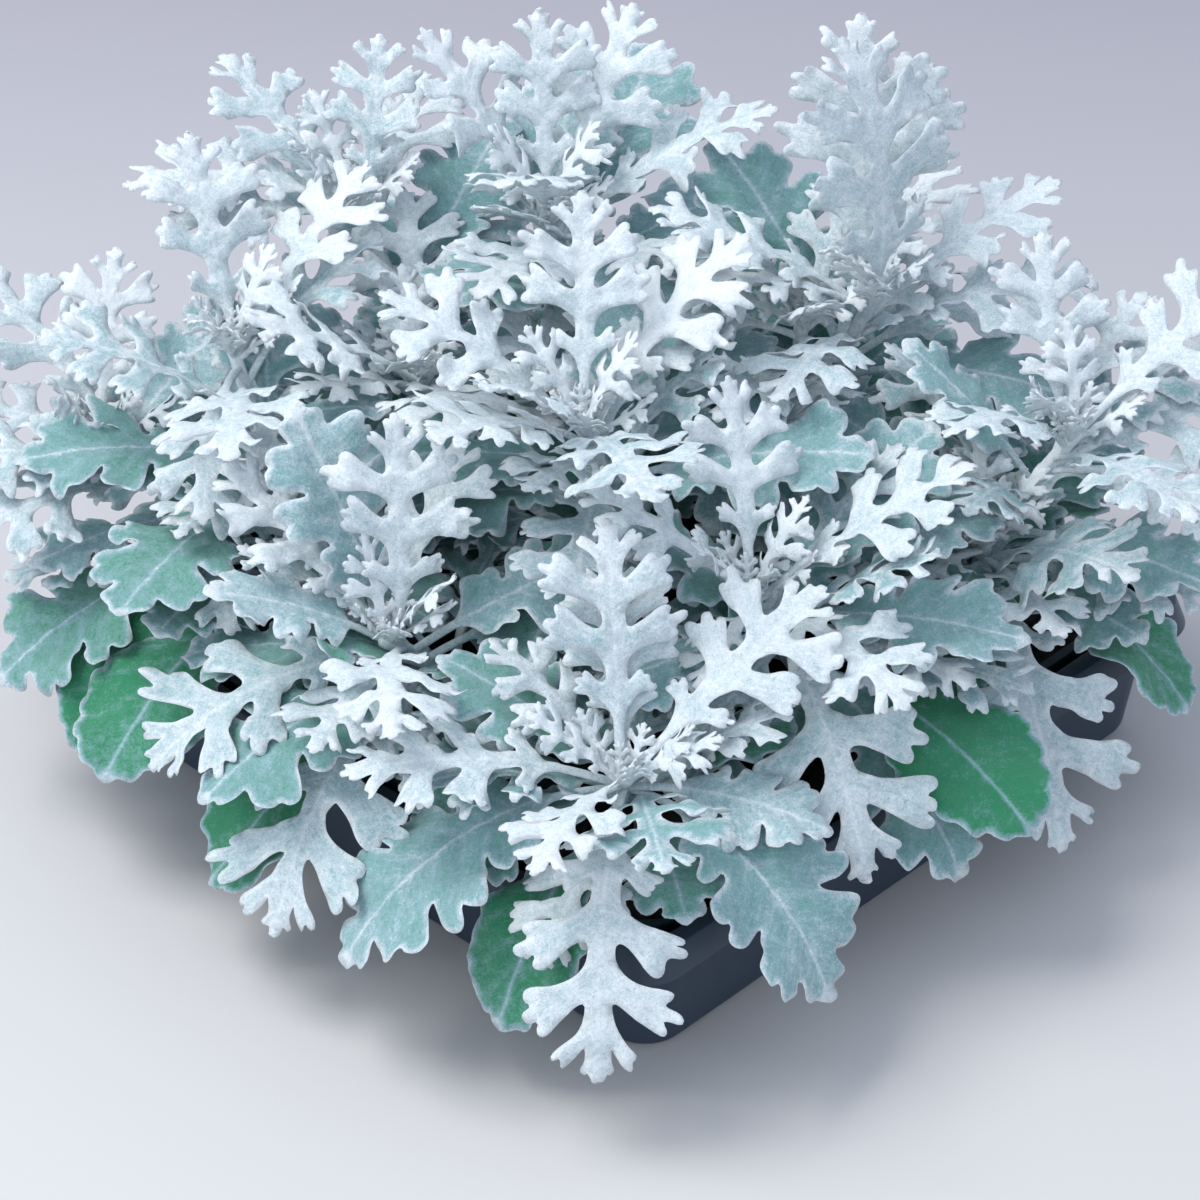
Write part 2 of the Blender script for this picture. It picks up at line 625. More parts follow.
def thick_tree(points, faces, rim, weights, extra):
    """A search tree of a leaf's faces and margin, thickened by a clearance."""
    normals = [Vector() for _ in points]
    for a, b, c in faces:
        normal = (points[b] - points[a]).cross(points[c] - points[a])
        for i in (a, b, c):
            normals[i] += normal
    both = []
    for sign in (1, -1):
        for point, normal, weight in zip(points, normals, weights):
            both.append(point + normal.normalized() * sign * (0.5 * RIB_THICK * weight + extra))
    shift = len(points)
    sides = list(faces) + [(a + shift, b + shift, c + shift) for a, b, c in faces]
    sides += [(a, b, b + shift, a + shift) for a, b in rim]
    low = Vector(min(p[k] for p in both) for k in range(3))
    high = Vector(max(p[k] for p in both) for k in range(3))
    return BVHTree.FromPolygons(both, sides), low, high


def meets(one, other):
    """Whether two search trees touch."""
    if any(one[1][k] > other[2][k] or other[1][k] > one[2][k] for k in range(3)):
        return False
    return bool(one[0].overlap(other[0]))


def tube_tree(points, radius):
    """A search tree of a four-sided tube around a stem."""
    verts = []
    for p in points:
        for x, y in ((1, 0), (0, 1), (-1, 0), (0, -1)):
            verts.append(p + Vector((x, y, 0)) * radius * 1.45)
    faces = []
    for i in range(len(points) - 1):
        for k in range(4):
            a, b = 4 * i + k, 4 * i + (k + 1) % 4
            faces.append((a, b, b + 4, a + 4))
    low = Vector(min(p[k] for p in verts) for k in range(3))
    high = Vector(max(p[k] for p in verts) for k in range(3))
    return BVHTree.FromPolygons(verts, faces), low, high


def block_tree(half, low_z, high_z):
    """A search tree of a plain block, standing in for the tray."""
    verts = [Vector((x, y, z)) for z in (low_z, high_z) for x in (-half, half)
             for y in (-half, half)]
    faces = [(0, 1, 3, 2), (4, 5, 7, 6), (0, 1, 5, 4), (2, 3, 7, 6), (0, 2, 6, 4), (1, 3, 7, 5)]
    return (BVHTree.FromPolygons(verts, faces), Vector((-half, -half, low_z)),
            Vector((half, half, high_z)))


def cell_centres():
    """Centre of each cell by its name."""
    return {name: (column * CELL_PITCH, row * CELL_PITCH)
            for name, ((column, row), _shoots) in PLANTS.items()}


def plant_stems():
    """Stem lines of every shoot by plant."""
    stems = {}
    centres = cell_centres()
    for name, (_cell, shoots) in PLANTS.items():
        stems[name] = [stem_line(centres[name], Vector(shoot[:3])) for shoot in shoots]
    return stems


def fill_rows(stems):
    """Rows of leaves that fill each plant below its crown, turning up the stem."""
    for name, lines in stems.items():
        for shoot, line in enumerate(lines):
            draw = random.Random("fill {} {}".format(name, shoot))
            for k in range(FILL_LEAVES):
                share = 0.22 + 0.70 * k / (FILL_LEAVES - 1)
                kind = "cut" if draw.random() < 0.25 + 0.7 * share else "oak"
                heading = LEAF_TURN * k + draw.uniform(-20.0, 20.0)
                rise = 22.0 * share - 4.0 + 17.0 * math.sin(math.radians(heading))
                leaf = (kind, share, heading, rise + draw.uniform(-18.0, 18.0),
                        draw.uniform(66.0, 88.0), draw.uniform(25.0, 55.0))
                yield k, name, line, leaf
            for k in range(SKIRT_LEAVES):
                leaf = ("oval" if k % 3 == 1 else "oak", draw.uniform(0.06, 0.24),
                        360.0 * k / SKIRT_LEAVES + draw.uniform(-14.0, 14.0),
                        draw.uniform(2.0, 12.0), draw.uniform(78.0, 102.0),
                        draw.uniform(45.0, 62.0))
                yield FILL_LEAVES + k, name, line, leaf


def place_leaves(stems):
    """Settle every leaf as the solids do, clear of the tray and of the other plants.

    The solids' own leaves come first, by the same rule and in the same order as in the solids.
    The fill leaves then take what room is left. The blades that are tested here are plainer
    than the finished leaves, so leaves of neighbouring plants can still cross a little.
    """
    tray = block_tree(TRAY_WALL_TOP_HALF + LIP_WIDTH + SKIRT_FLARE + 1.0, -1.0, TRAY_HEIGHT + 0.8)
    stalks = {name: [tube_tree(line, STEM_RADIUS + CLEARANCE) for line in lines]
              for name, lines in stems.items()}
    blades = {name: [] for name in PLANTS}
    placed = {name: [] for name in PLANTS}
    rows = [(index, name, line, leaf)
            for name, (_cell, shoots) in PLANTS.items()
            for shoot, line in zip(shoots, stems[name])
            for index, leaf in enumerate(shoot[3])]
    rows.sort(key=lambda row: row[0])
    main_count = len(rows)
    rows += sorted(fill_rows(stems), key=lambda row: row[0])
    low, high = (Vector(corner) / MM for corner in CAD_BOX)
    for number, (_index, name, line, leaf) in enumerate(rows):
        filling = number >= main_count
        kind, share, heading, pitch, length, arch = leaf
        draw = random.Random("leaf {} {}".format(name, number))
        sweep = draw.uniform(-16.0, 16.0)
        roll = draw.uniform(-11.0, 11.0)
        seed = draw.random()
        root = along(line, share)
        others = [tree for key in PLANTS if key != name for tree in blades[key] + stalks[key]]
        loose = None
        for turn, tilt, scale in (FILL_NUDGES if filling else NUDGES):
            frames = rib_frames(root, heading + turn, pitch + tilt, length * scale, arch, sweep,
                                roll)
            points, weights = leaf_points(kind, frames, length * scale, random.Random(seed))
            if min(p.z for p in points) < 4.0:
                continue
            if filling and any(p[k] < low[k] + 2.0 or p[k] > high[k] - 2.0
                               for p in points for k in range(3)):
                continue
            flat, faces, petiole, rim = TEMPLATES[kind]
            tree = thick_tree(points, faces, rim, weights, CLEARANCE)
            if meets(tree, tray) or any(meets(tree, other) for other in others):
                continue
            outer = [f for f in faces if max(flat[i][0] for i in f) > petiole + 0.01]
            blade = thick_tree(points, outer, [], weights, 0.0)
            found = (frames, length * scale, seed, tree, blade)
            if not any(meets(blade, own) for own in placed[name]):
                loose = found
                break
            loose = loose or (None if filling else found)
        if loose is None:
            continue
        blades[name].append(loose[3])
        placed[name].append(loose[4])
        yield name, kind, share, loose[0], loose[1], loose[2], filling


def rounded(points, times=2):
    """Cut a line's corners so that it runs in soft curves between the same ends."""
    for _ in range(times):
        inner = np.empty((2 * len(points) - 2, 2))
        inner[0::2] = 0.75 * points[:-1] + 0.25 * points[1:]
        inner[1::2] = 0.25 * points[:-1] + 0.75 * points[1:]
        points = np.vstack([points[:1], inner, points[-1:]])
    return points


def evenly(points, step):
    """Points at a nearly even step along a line."""
    gaps = np.hypot(*np.diff(points, axis=0).T)
    run = np.concatenate([[0.0], np.cumsum(gaps)])
    count = max(int(run[-1] / step), 2)
    at = np.linspace(0.0, run[-1], count + 1)
    return np.column_stack([np.interp(at, run, points[:, k]) for k in (0, 1)])


def inside(points, ring):
    """Which points lie inside a closed ring."""
    x, y = points[:, :1], points[:, 1:]
    x1, y1 = ring[:, 0], ring[:, 1]
    x2, y2 = np.roll(x1, -1), np.roll(y1, -1)
    rise = np.where(y2 == y1, 1e-12, y2 - y1)
    hits = ((y1 > y) != (y2 > y)) & (x < (x2 - x1) * (y - y1) / rise + x1)
    return hits.sum(axis=1) % 2 == 1


def nearest(points, ring):
    """Distance from each point to the closest of a set of points."""
    return np.sqrt(((points[:, None, :] - ring[None, :, :]) ** 2).sum(axis=2)).min(axis=1)


def finger_lobe(foot, tip, spring, fingers, draw):
    """Half-margin points of one lobe that ends in a fan of rounded fingers."""
    start = Vector((foot, 0.6 * RACHIS))
    axis = Vector(tip) - start
    reach = axis.length
    ahead = axis / reach
    back = Vector((-ahead.y, ahead.x))
    fan = start + ahead * reach * 0.53
    turns = [math.radians(FINGER_FAN * (k - 0.5 * (fingers - 1)) + draw.gauss(0.0, 4.0))
             for k in range(fingers)]
    neck = 0.145 * reach + 0.006
    points = [Vector((foot - spring, RACHIS)), start + ahead * 0.36 * reach + back * neck]
    for k, turn in enumerate(turns):
        out = ahead * math.cos(turn) - back * math.sin(turn)
        side = back * math.cos(turn) + ahead * math.sin(turn)
        long = reach * (0.48 if abs(turn) < 0.3 else 0.42) * (1.0 + draw.gauss(0.0, 0.10))
        broad = 0.062 * reach + 0.005
        points.append(fan + out * long + side * broad)
        points.append(fan + out * long - side * broad)
        if k < fingers - 1:
            middle = 0.5 * (turn + turns[k + 1])
            points.append(fan + (ahead * math.cos(middle) - back * math.sin(middle)) * 0.26 * reach)
    points.append(start + ahead * 0.36 * reach - back * neck)
    points.append(Vector((foot + spring, RACHIS * 0.94)))
    return points


def cut_margin(draw):
    """One half of a deeply cut leaf, from its foot to its three-fingered tip."""
    half = [(0.0, 0.028), (0.05, 0.038)]
    for foot, tip_u, tip_v, spring, fingers in LOBES:
        grown = 1.0 + draw.gauss(0.0, 0.05)
        tip = (tip_u + draw.gauss(0.0, 0.012), tip_v * grown)
        half += [tuple(p) for p in finger_lobe(foot, tip, spring, fingers, draw)]
    half += [(0.955, 0.050), (0.985, 0.072), (1.01, 0.062), (0.995, 0.028), (1.035, 0.024),
             (1.045, 0.0)]
    return half


def leaf_outline(kind, length, draw, step):
    """The margin of one leaf in millimetres, each lobe a little different."""
    petiole = KINDS[kind]["petiole"]
    reach = 1.0 - petiole
    sides = []
    for sign in (1.0, -1.0):
        half = np.array(cut_margin(draw) if kind in ("cut", "curl") else MARGINS[kind])
        drift = np.array([draw.gauss(0.0, 1.0) for _ in range(8)])
        places = np.linspace(0.0, 1.0, 8)
        half[:, 1] *= 1.0 + 0.07 * np.interp(half[:, 0], places, drift)
        shake = np.array([[draw.gauss(0.0, 0.004), draw.gauss(0.0, 0.004)] for _ in half])
        shake[-1] = 0.0
        half = half + shake
        half[:, 0] = petiole + reach * half[:, 0]
        half[:, 1] *= reach
        stalk = np.array([[0.0, PETIOLE_HALF / length], [petiole * 0.96, PETIOLE_HALF / length]])
        line = rounded(np.vstack([stalk, half]) * length)
        line = evenly(line, step)
        line[:, 1] *= sign
        sides.append(line)
    return np.vstack([sides[0], sides[1][::-1][1:]])


def leaf_sheet(kind, length, draw, grain):
    """Flat points and triangles of one leaf, with even points inside its margin."""
    ring = leaf_outline(kind, length, draw, max(0.5 * grain, 0.9))
    petiole = KINDS[kind]["petiole"] * length
    rows = np.arange(-0.5 * length, 0.5 * length, grain * 0.866)
    grid = [(x + (0.5 * grain if i % 2 else 0.0), y)
            for i, y in enumerate(rows) for x in np.arange(0.0, 1.1 * length, grain)]
    grid = np.array([(x + draw.uniform(-0.12, 0.12) * grain, y + draw.uniform(-0.12, 0.12) * grain)
                     for x, y in grid])
    grid = grid[np.abs(grid[:, 1]) > 2.6]
    grid = grid[inside(grid, ring)]
    if len(grid):
        grid = grid[nearest(grid, ring) > 0.42 * grain]
    stations = np.arange(0.4 * grain, length - 1.0, 0.8 * grain)
    spine = [(x, 0.0) for x in stations]
    spine += [(x, y) for x in stations if x < petiole for y in (-0.95, 0.95)]
    spine += [(x, y) for x in stations if x > petiole + 1.0 and x < length - 4.0
              for y in (-1.3, 1.3)]
    spine = np.array(spine)
    spine = spine[nearest(spine, ring) > 0.35]
    flat = np.vstack([ring, spine, grid]) if len(grid) else np.vstack([ring, spine])
    found = delaunay_2d_cdt([Vector(p) for p in flat], [], [list(range(len(ring)))], 1, 1e-5)
    return np.array([tuple(v) for v in found[0]]), np.array(found[2], dtype=int), ring


def soft_noise(points, size, seed):
    """Smooth noise between -1 and 1 over flat points, made of a few waves."""
    draw = random.Random(seed)
    total = np.zeros(len(points))
    for _ in range(6):
        turn = draw.uniform(0.0, math.tau)
        pitch = math.tau / (size * draw.uniform(0.75, 1.6))
        total += np.sin(points[:, 0] * math.cos(turn) * pitch
                        + points[:, 1] * math.sin(turn) * pitch + draw.uniform(0.0, math.tau))
    return total / 3.0


def smooth_track(values, at):
    """Read a track of vectors at places between its entries, on a smooth curve."""
    i = np.clip(at.astype(int), 0, len(values) - 2)
    t = (at - i)[:, None]
    before = values[np.clip(i - 1, 0, len(values) - 1)]
    a, b = values[i], values[i + 1]
    after = values[np.clip(i + 2, 0, len(values) - 1)]
    return 0.5 * (2 * a + (b - before) * t + (2 * before - 5 * a + 4 * b - after) * t ** 2
                  + (3 * a - before - 3 * b + after) * t ** 3)


def corner_normals(points, faces):
    """Unit normals of a triangle mesh's points."""
    flat = np.cross(points[faces[:, 1]] - points[faces[:, 0]],
                    points[faces[:, 2]] - points[faces[:, 0]])
    normals = np.zeros_like(points)
    for k in range(3):
        np.add.at(normals, faces[:, k], flat)
    return normals / np.maximum(np.linalg.norm(normals, axis=1), 1e-12)[:, None]


def leaf_body(kind, share, frames, length, seed, look, grain):
    """Points, faces and felt cover of one finished leaf."""
    first = random.Random(seed)
    fold = math.radians(KINDS[kind]["fold"] + first.uniform(-4.0, 4.0))
    wave = first.uniform(0.0, 6.3)
    draw = random.Random("shape {}".format(seed))
    grain = grain * (1.0 if length > 50 else 0.7 if length > 30 else 0.5)
    flat, faces, ring = leaf_sheet(kind, length, draw, grain)
    petiole = KINDS[kind]["petiole"] * length
    x, y = flat[:, 0], flat[:, 1]
    u, v = x / length, y / length
    rim = nearest(flat, ring)
    vein = vein_cover(kind, flat, length)
    blade = np.clip((x - petiole) / (0.10 * length), 0.0, 1.0)
    tracks = [np.array([tuple(f[k]) for f in frames]) for k in range(3)]
    at = np.clip(u, 0.0, 1.08) * (len(frames) - 1)
    place, side, up = (smooth_track(track, at) for track in tracks)
    over = np.clip(u - 1.0, 0.0, None) * length
    end = tracks[0][-1] - tracks[0][-2]
    place += over[:, None] * (end / np.linalg.norm(end))[None, :]
    soft = np.sqrt(y ** 2 + 1.0) - 1.0
    curl = KINDS[kind]["curl"] * (min(1.0, length / 60.0) if kind == "curl" else 1.0)
    lift = soft * math.sin(fold) - curl * (v / 0.3) ** 2
    lift += 0.030 * length * np.sin(9.0 * u + wave + np.where(v > 0, 2.0, 0.0)) * np.abs(v) / 0.3
    size = length / 90.0
    small = min(1.0, length / 55.0)
    ruffle = look.lobe_ruffle * small
    lift += ruffle * 2.4 * size * soft_noise(flat, 24.0 * size, seed) * np.abs(v) / 0.3
    lift += ruffle * soft_noise(flat, 9.0, seed + 1.0) * np.exp(-rim / 2.2)
    beat = math.tau / LOBE_PITCH
    lift += (LOBE_TWIST * size * np.sin(beat * u + np.where(v > 0, wave, 2.0 * wave))
             * np.clip(np.abs(v) / 0.3 - 0.15, 0.0, 1.2))
    lift += 0.24 * small * soft_noise(flat, 6.5 * max(small, 0.5), seed + 2.0)
    lift -= 0.55 * small * vein
    mid = place + side * (y * math.cos(fold))[:, None] + up * (lift * blade)[:, None]
    normals = corner_normals(mid, faces)
    round_stalk = 1.2 * np.sqrt(np.clip(1.0 - (y / 1.78) ** 2, 0.02, 1.0))
    edge = 0.27 * np.sqrt(np.clip(rim / 0.6, 0.12, 1.0))
    thin = 1.0 - 0.55 * np.clip((x - petiole) / (length - petiole), 0.0, 1.0)
    top = edge + 0.42 * np.exp(-(y / 1.2) ** 2) * thin
    below = edge + 0.95 * np.exp(-(y / 1.5) ** 2) * thin + 0.22 * vein
    top = round_stalk * (1 - blade) + top * blade
    below = round_stalk * (1 - blade) + below * blade
    points = np.vstack([mid + normals * top[:, None], mid - normals * below[:, None]])
    count = len(mid)
    pairs = np.vstack([faces[:, (0, 1)], faces[:, (1, 2)], faces[:, (2, 0)]])
    known = {(a, b) for a, b in pairs.tolist()}
    margin = [(a, b) for a, b in pairs.tolist() if (b, a) not in known]
    walls = [(b, a, a + count) for a, b in margin] + [(b, a + count, b + count) for a, b in margin]
    shell = np.vstack([faces, faces[:, ::-1] + count, np.array(walls)])
    cover = leaf_felt(kind, share, flat, length, rim, vein, blade, draw)
    return points, shell, cover, np.vstack([vein_place(flat, seed)] * 2)


def vein_place(flat, seed):
    """Coordinates across and along the fine veins, so that the felt can run with them."""
    out = np.abs(flat[:, 1])
    across = (0.83 * flat[:, 0] - 0.55 * out) / STREAK_WIDE
    run = (0.55 * flat[:, 0] + 0.83 * out) / STREAK_LONG
    return np.column_stack([across, run, np.full(len(flat), 40.0 * seed)])


def vein_cover(kind, flat, length):
    """How close each point lies to a side vein, from nought to one."""
    petiole = KINDS[kind]["petiole"]
    reach = 1.0 - petiole
    cover = np.zeros(len(flat))
    across = np.abs(flat[:, 1])
    for start, tip, out in VEINS[kind]:
        a = np.array([petiole + reach * start, 0.0]) * length
        b = np.array([petiole + reach * tip, reach * out]) * length
        run = b - a
        t = np.clip(((flat[:, 0] - a[0]) * run[0] + (across - a[1]) * run[1]) / (run @ run), 0, 1)
        gap = np.hypot(flat[:, 0] - a[0] - t * run[0], across - a[1] - t * run[1])
        cover = np.maximum(cover, np.exp(-(gap / 0.9) ** 2) * (1.0 - 0.6 * t))
    return cover


def leaf_felt(kind, share, flat, length, rim, vein, blade, draw):
    """Felt cover of a leaf's upper side, then of its under side."""
    high, low = FELT[kind]
    base = low + (high - low) * min(max((share - 0.5) / 0.45, 0.0), 1.0) + draw.gauss(0.0, 0.06)
    base *= 0.55 + 0.45 * min(max(share / 0.5, 0.0), 1.0)
    petiole = KINDS[kind]["petiole"] * length
    rib = np.exp(-(flat[:, 1] / 1.1) ** 2)
    tip = np.clip((flat[:, 0] - petiole) / (length - petiole), 0.0, 1.0)
    bare = base + 0.14 * (tip - 0.6)
    edge = np.exp(-(rim / 1.15) ** 2)
    cover = bare + (1.0 - bare) * np.maximum(0.80 * edge, np.maximum(0.55 * rib, 0.30 * vein))
    cover = cover * blade + (0.55 + 0.4 * base) * (1.0 - blade)
    under = np.maximum(0.62 + 0.3 * base + 0.2 * vein, cover)
    if kind == "oval":
        under = np.maximum(0.30 + 0.3 * vein, 0.8 * cover)
    return np.concatenate([cover, under])


def stem_body(line):
    """A ribbed stem along its line, smooth between its points."""
    values = np.array([tuple(p) for p in line])
    last = STEM_RINGS - 1
    track = smooth_track(values, np.linspace(0.0, len(values) - 1, STEM_RINGS))
    turn = np.arange(STEM_SIDES) * math.tau / STEM_SIDES
    rings = []
    for i, centre in enumerate(track):
        ahead = track[min(i + 1, last)] - track[max(i - 1, 0)]
        ahead = ahead / np.linalg.norm(ahead)
        across = np.cross(ahead, (0.36, 0.93, 0.0))
        across = across / np.linalg.norm(across)
        up = np.cross(ahead, across)
        taper = 1.0 - 0.15 * i / last
        radius = STEM_RADIUS * taper * (0.95 + 0.055 * np.cos(5.0 * turn + 0.05 * i))
        if i == last:
            radius = radius * 0.55
        rings.append(centre + radius[:, None] * (np.cos(turn)[:, None] * across
                                                 + np.sin(turn)[:, None] * up))
    points = np.vstack(rings + [track[:1], track[-1:] + (track[-1:] - track[-2:-1]) * 0.3])
    foot, crown = len(points) - 2, len(points) - 1
    sides = [(k, (k + 1) % STEM_SIDES) for k in range(STEM_SIDES)]
    faces = []
    for row in range(0, last * STEM_SIDES, STEM_SIDES):
        for a, b in sides:
            faces += [(row + a, row + b, row + b + STEM_SIDES),
                      (row + a, row + b + STEM_SIDES, row + a + STEM_SIDES)]
    for a, b in sides:
        faces += [(b, a, foot), (last * STEM_SIDES + a, last * STEM_SIDES + b, crown)]
    rise = np.clip((points[:, 2] - SOIL_TOP) / 60.0, 0.0, 1.0)
    return points, np.array(faces), 0.35 + 0.55 * rise, points / STREAK_LONG


def crown_leaves(line, name, look):
    """Small crinkled young leaves packed around a shoot's tip."""
    draw = random.Random("crown " + name)
    for k in range(look.crown_leaves):
        inner = k / max(look.crown_leaves - 1, 1)
        heading = LEAF_TURN * k + draw.uniform(-15.0, 15.0)
        length = 30.0 - 17.0 * inner + draw.uniform(-2.0, 2.0)
        pitch = 42.0 + 36.0 * inner + draw.uniform(-6.0, 6.0)
        root = along(line, 0.94 + 0.03 * inner)
        frames = rib_frames(root, heading, pitch, length, draw.uniform(-30.0, 25.0),
                            draw.uniform(-25.0, 25.0), draw.uniform(-20.0, 20.0))
        yield "curl", 1.0, frames, length, draw.random()


def add_mesh(name, parts):
    """One object from several bodies, with their felt cover; leaves first, then stems."""
    points, faces, felt, place, material = [], [], [], [], []
    shift = 0
    for (body_points, body_faces, body_felt, body_place), index in parts:
        points.append(body_points)
        faces.append(body_faces + shift)
        felt.append(body_felt)
        place.append(body_place)
        material.append(np.full(len(body_faces), index))
        shift += len(body_points)
    points = np.vstack(points) * MM
    faces = np.vstack(faces)
    mesh = bpy.data.meshes.new(name)
    mesh.vertices.add(len(points))
    mesh.vertices.foreach_set("co", points.ravel())
    mesh.loops.add(faces.size)
    mesh.loops.foreach_set("vertex_index", faces.ravel())
    mesh.polygons.add(len(faces))
    mesh.polygons.foreach_set("loop_start", np.arange(0, faces.size, 3))
    mesh.polygons.foreach_set("material_index", np.concatenate(material))
    mesh.polygons.foreach_set("use_smooth", np.ones(len(faces), dtype=bool))
    cover = mesh.attributes.new("felt", "FLOAT", "POINT")
    cover.data.foreach_set("value", np.clip(np.concatenate(felt), 0.0, 1.0))
    streaks = mesh.attributes.new("vein_place", "FLOAT_VECTOR", "POINT")
    streaks.data.foreach_set("vector", np.vstack(place).ravel())
    mesh.update(calc_edges=True)
    mesh.validate()
    obj = bpy.data.objects.new(name, mesh)
    bpy.context.scene.collection.objects.link(obj)
    return obj


class MILLER_OT_plants(bpy.types.Operator):
    """Grow the nine plants with felted, toothed and ruffled leaves"""

    bl_idname = "miller.plants"
    bl_label = "Plants"

    def execute(self, context):
        look = context.scene.dusty_miller
        stems = plant_stems()
        parts = {name: [] for name in PLANTS}
        for name, kind, share, frames, length, seed, filling in place_leaves(stems):
            grain = look.leaf_grain * (FILL_GRAIN if filling else 1.0)
            body = leaf_body(kind, share, frames, length, seed, look, grain)
            parts[name].append((body, 0))
        leaf, stem = leaf_paint(look), stem_paint()
        for name, lines in stems.items():
            for number, line in enumerate(lines):
                label = "{}_{}".format(name, number)
                for kind, share, frames, length, seed in crown_leaves(line, label, look):
                    body = leaf_body(kind, share, frames, length, seed, look, look.leaf_grain)
                    parts[name].append((body, 0))
                parts[name].append((stem_body(line), 1))
            plant = add_mesh("dusty_miller_" + name, parts[name])
            finish_piece(plant, "plant_" + name, "leaf", leaf, stem)
        return {"FINISHED"}


def pick_edges(obj, test):
    """Select the edges of the mesh in edit mode that pass a test."""
    bm = bmesh.from_edit_mesh(obj.data)
    for face in bm.faces:
        face.select = False
    for edge in bm.edges:
        edge.select = bool(test(edge))
    bm.select_flush_mode()
    bmesh.update_edit_mesh(obj.data)


def push_rim(obj, out, drop):
    """Move the selected rim outwards on both axes and down."""
    bm = bmesh.from_edit_mesh(obj.data)
    for vert in bm.verts:
        if vert.select:
            vert.co.x += math.copysign(out * MM, vert.co.x)
            vert.co.y += math.copysign(out * MM, vert.co.y)
            vert.co.z -= drop * MM
    bmesh.update_edit_mesh(obj.data)


class MILLER_OT_tray(bpy.types.Operator):
    """Mould the square tray with its lip and flared skirt"""

    bl_idname = "miller.tray"
    bl_label = "Tray"

    def execute(self, context):
        look = context.scene.dusty_miller
        select_none()
        bpy.ops.mesh.primitive_cube_add(size=2.0, location=(0.0, 0.0, 0.0))
        tray = context.object
        tray.name = "nursery_tray"
        for vert in tray.data.vertices:
            top = vert.co.z > 0
            half = TRAY_WALL_TOP_HALF if top else TRAY_BASE_HALF
            level = TRAY_HEIGHT - 0.5 * TRAY_WALL if top else 0.5 * TRAY_WALL
            vert.co = Vector((vert.co.x * half, vert.co.y * half, level)) * MM
        bpy.ops.object.mode_set(mode="EDIT")
        bpy.ops.mesh.select_mode(type="EDGE")
        pick_edges(tray, lambda e: abs(e.verts[0].co.z - e.verts[1].co.z) > MM)
        bpy.ops.mesh.bevel(offset=TRAY_CORNER * MM, segments=12)
        pick_edges(tray, lambda e: all(v.co.z < MM for v in e.verts))
        bpy.ops.mesh.bevel(offset=TRAY_FOOT_ROUND * MM, segments=5)
        bpy.ops.mesh.select_mode(type="FACE")
        bm = bmesh.from_edit_mesh(tray.data)
        for face in bm.faces:
            face.select = all(v.co.z > (TRAY_HEIGHT - 1.0) * MM for v in face.verts)
        bmesh.update_edit_mesh(tray.data)
        bpy.ops.mesh.delete(type="ONLY_FACE")
        bpy.ops.mesh.select_mode(type="EDGE")
        pick_edges(tray, lambda e: e.is_boundary)
        for out, drop in ((LIP_WIDTH - 0.4, 0.0), (SKIRT_FLARE, SKIRT_DROP)):
            bpy.ops.mesh.extrude_region_move()
            push_rim(tray, out, drop)
        bpy.ops.mesh.select_all(action="SELECT")
        bpy.ops.mesh.normals_make_consistent(inside=False)
        bpy.ops.object.mode_set(mode="OBJECT")
        wall = tray.modifiers.new("wall", "SOLIDIFY")
        wall.thickness = TRAY_WALL * MM
        wall.offset = 0.0
        wall.use_even_offset = True
        soften = tray.modifiers.new("soften", "BEVEL")
        soften.width = 0.55 * MM
        soften.segments = 3
        soften.limit_method = "ANGLE"
        soften.angle_limit = math.radians(35.0)
        for modifier in ("wall", "soften"):
            bpy.ops.object.modifier_apply(modifier=modifier)
        bpy.ops.object.shade_smooth_by_angle(angle=math.radians(40.0))
        finish_piece(tray, "tray", "tray_plastic",
                     plastic_paint("tray_plastic", tuple(look.tray_colour), 0.42))
        return {"FINISHED"}


class MILLER_OT_liner(bpy.types.Operator):
    """Give the cell liner its dark film plastic"""

    bl_idname = "miller.liner"
    bl_label = "Cell liner"

    def execute(self, context):
        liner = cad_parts["cell_liner"]
        liner.data.materials.clear()
        liner.data.materials.append(plastic_paint("liner_plastic", LINER_COLOUR, 0.5))
        return {"FINISHED"}


